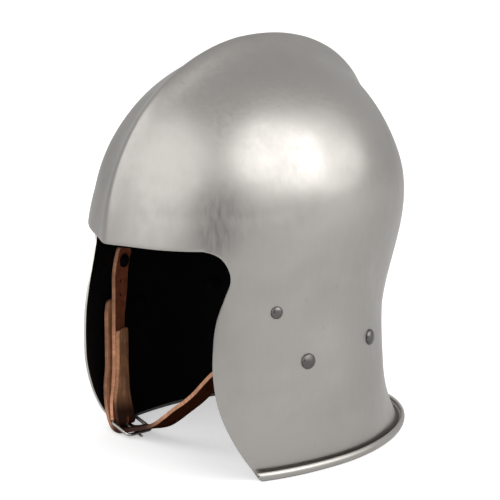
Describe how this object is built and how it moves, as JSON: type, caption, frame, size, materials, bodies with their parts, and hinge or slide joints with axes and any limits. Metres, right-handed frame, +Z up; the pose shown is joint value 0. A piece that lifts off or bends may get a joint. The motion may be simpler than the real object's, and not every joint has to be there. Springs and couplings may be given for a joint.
{
  "type": "sallet helmet",
  "caption": "Open-faced steel sallet with a low comb, wide face opening, flared nape with rolled rim, domed rivets and a buckled leather chin strap.",
  "frame": {"origin": "middle of the part's box, on the plane that the rolled rim rests on", "axes": "+Z up through the crown, -Y to the front, +X to the wearer's left"},
  "size_m": [0.2082, 0.2631, 0.3091],
  "materials": {
    "shell_steel": "satin outside, matt black inside",
    "rivet_steel": "satin, darker than the shell",
    "buckle_steel": "bright wire",
    "strap_leather": "worn tan to dark brown"
  },
  "bodies": {
    "root": {"helmet_shell": "shell_steel", "chin_rivet_left": "rivet_steel", "chin_rivet_right": "rivet_steel", "cheek_rivet_left": "rivet_steel", "cheek_rivet_right": "rivet_steel", "nape_rivet_left": "rivet_steel", "nape_rivet_right": "rivet_steel", "buckle_strap": "strap_leather", "long_strap": "strap_leather", "buckle_frame": "buckle_steel", "buckle_prong": "buckle_steel"}
  },
  "joints": []
}
